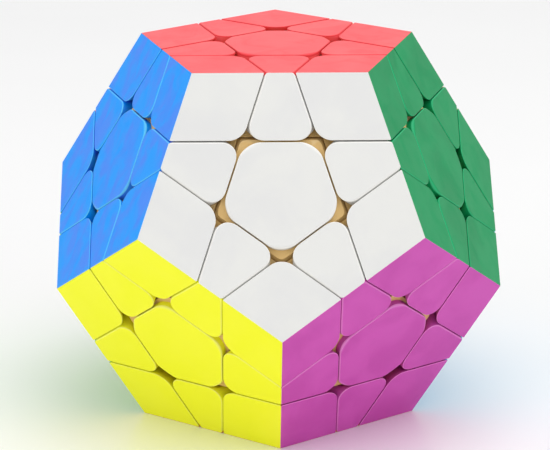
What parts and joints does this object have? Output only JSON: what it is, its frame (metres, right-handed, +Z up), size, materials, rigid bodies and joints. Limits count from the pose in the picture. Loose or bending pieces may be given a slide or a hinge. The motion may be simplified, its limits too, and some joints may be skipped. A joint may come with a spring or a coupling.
{
  "type": "dodecahedron twisty puzzle",
  "caption": "Dodecahedral twisty puzzle with turning face layers: flat pentagonal caps, trapezoid edge and rhombus corner pieces on a sprung, screwed core.",
  "frame": {"origin": "middle of the face that the puzzle stands on, at the height of the surface below it", "axes": "+Z up through the middle of the red top face; -Y towards the white face that looks at the viewer; +X to the viewer's right"},
  "size_m": [0.0882, 0.0928, 0.075],
  "materials": {
    "red_plastic": "semi-gloss moulded ABS",
    "white_plastic": "semi-gloss moulded ABS",
    "green_plastic": "semi-gloss moulded ABS",
    "cream_plastic": "semi-gloss moulded ABS",
    "pink_plastic": "semi-gloss moulded ABS",
    "blue_plastic": "semi-gloss moulded ABS",
    "orange_plastic": "semi-gloss moulded ABS",
    "gray_plastic": "semi-gloss moulded ABS",
    "lime_plastic": "semi-gloss moulded ABS",
    "yellow_plastic": "semi-gloss moulded ABS",
    "purple_plastic": "semi-gloss moulded ABS",
    "sky_plastic": "semi-gloss moulded ABS",
    "base_plastic": "matt moulded ABS, tan",
    "core_plastic": "matt moulded nylon, dark gray",
    "screw_steel": "zinc-plated",
    "spring_steel": "bright drawn wire"
  },
  "bodies": {
    "puzzle_body": {"body_white_tiles": "white_plastic", "body_green_tiles": "green_plastic", "body_cream_tiles": "cream_plastic", "body_pink_tiles": "pink_plastic", "body_blue_tiles": "blue_plastic", "body_orange_tiles": "orange_plastic", "body_lime_tiles": "lime_plastic", "body_yellow_tiles": "yellow_plastic", "body_sky_tiles": "sky_plastic", "body_edge_bases": "base_plastic", "body_corner_bases": "base_plastic", "body_centre_bases": "base_plastic", "core_upper_half": "core_plastic", "core_lower_half": "core_plastic", "tension_screws": "screw_steel", "tension_springs": "spring_steel", "screw_washers": "screw_steel", "spring_seat_washers": "screw_steel"},
    "red_layer": {"red_layer_red_tiles": "red_plastic", "red_layer_white_tiles": "white_plastic", "red_layer_green_tiles": "green_plastic", "red_layer_cream_tiles": "cream_plastic", "red_layer_pink_tiles": "pink_plastic", "red_layer_blue_tiles": "blue_plastic", "red_layer_edge_bases": "base_plastic", "red_layer_corner_bases": "base_plastic", "red_layer_centre_base": "base_plastic"},
    "purple_layer": {"purple_layer_purple_tiles": "purple_plastic", "purple_layer_white_tiles": "white_plastic", "purple_layer_green_tiles": "green_plastic", "purple_layer_sky_tiles": "sky_plastic", "purple_layer_orange_tiles": "orange_plastic", "purple_layer_yellow_tiles": "yellow_plastic", "purple_layer_edge_bases": "base_plastic", "purple_layer_corner_bases": "base_plastic", "purple_layer_centre_base": "base_plastic"},
    "gray_layer": {"gray_layer_gray_tiles": "gray_plastic", "gray_layer_cream_tiles": "cream_plastic", "gray_layer_pink_tiles": "pink_plastic", "gray_layer_lime_tiles": "lime_plastic", "gray_layer_orange_tiles": "orange_plastic", "gray_layer_sky_tiles": "sky_plastic", "gray_layer_edge_bases": "base_plastic", "gray_layer_corner_bases": "base_plastic", "gray_layer_centre_base": "base_plastic"},
    "red_cap": {"red_cap": "red_plastic"},
    "white_cap": {"white_cap": "white_plastic"},
    "green_cap": {"green_cap": "green_plastic"},
    "cream_cap": {"cream_cap": "cream_plastic"},
    "pink_cap": {"pink_cap": "pink_plastic"},
    "blue_cap": {"blue_cap": "blue_plastic"},
    "orange_cap": {"orange_cap": "orange_plastic"},
    "gray_cap": {"gray_cap": "gray_plastic"},
    "lime_cap": {"lime_cap": "lime_plastic"},
    "yellow_cap": {"yellow_cap": "yellow_plastic"},
    "purple_cap": {"purple_cap": "purple_plastic"},
    "sky_cap": {"sky_cap": "sky_plastic"}
  },
  "joints": [
    {"name": "red_layer_turn", "type": "hinge", "parent": "puzzle_body", "child": "red_layer", "pos_m": [0, 0, 0.0375], "axis": [0, 0, 1], "continuous": true},
    {"name": "purple_layer_turn", "type": "hinge", "parent": "puzzle_body", "child": "purple_layer", "pos_m": [0, 0, 0.0375], "axis": [0.5257, -0.7236, -0.4472], "continuous": true},
    {"name": "gray_layer_turn", "type": "hinge", "parent": "puzzle_body", "child": "gray_layer", "pos_m": [0, 0, 0.0375], "axis": [0, 0.8944, -0.4472], "continuous": true},
    {"name": "red_cap_lift", "type": "slide", "parent": "red_layer", "child": "red_cap", "axis": [0, 0, 1], "range_m": [0, 0.015]},
    {"name": "white_cap_lift", "type": "slide", "parent": "puzzle_body", "child": "white_cap", "axis": [0, -0.8944, 0.4472], "range_m": [0, 0.015]},
    {"name": "green_cap_lift", "type": "slide", "parent": "puzzle_body", "child": "green_cap", "axis": [0.8507, -0.2764, 0.4472], "range_m": [0, 0.015]},
    {"name": "cream_cap_lift", "type": "slide", "parent": "puzzle_body", "child": "cream_cap", "axis": [0.5257, 0.7236, 0.4472], "range_m": [0, 0.015]},
    {"name": "pink_cap_lift", "type": "slide", "parent": "puzzle_body", "child": "pink_cap", "axis": [-0.5257, 0.7236, 0.4472], "range_m": [0, 0.015]},
    {"name": "blue_cap_lift", "type": "slide", "parent": "puzzle_body", "child": "blue_cap", "axis": [-0.8507, -0.2764, 0.4472], "range_m": [0, 0.015]},
    {"name": "orange_cap_lift", "type": "slide", "parent": "puzzle_body", "child": "orange_cap", "axis": [0, 0, -1], "range_m": [0, 0.015]},
    {"name": "gray_cap_lift", "type": "slide", "parent": "gray_layer", "child": "gray_cap", "axis": [0, 0.8944, -0.4472], "range_m": [0, 0.015]},
    {"name": "lime_cap_lift", "type": "slide", "parent": "puzzle_body", "child": "lime_cap", "axis": [-0.8507, 0.2764, -0.4472], "range_m": [0, 0.015]},
    {"name": "yellow_cap_lift", "type": "slide", "parent": "puzzle_body", "child": "yellow_cap", "axis": [-0.5257, -0.7236, -0.4472], "range_m": [0, 0.015]},
    {"name": "purple_cap_lift", "type": "slide", "parent": "purple_layer", "child": "purple_cap", "axis": [0.5257, -0.7236, -0.4472], "range_m": [0, 0.015]},
    {"name": "sky_cap_lift", "type": "slide", "parent": "puzzle_body", "child": "sky_cap", "axis": [0.8507, 0.2764, -0.4472], "range_m": [0, 0.015]}
  ]
}
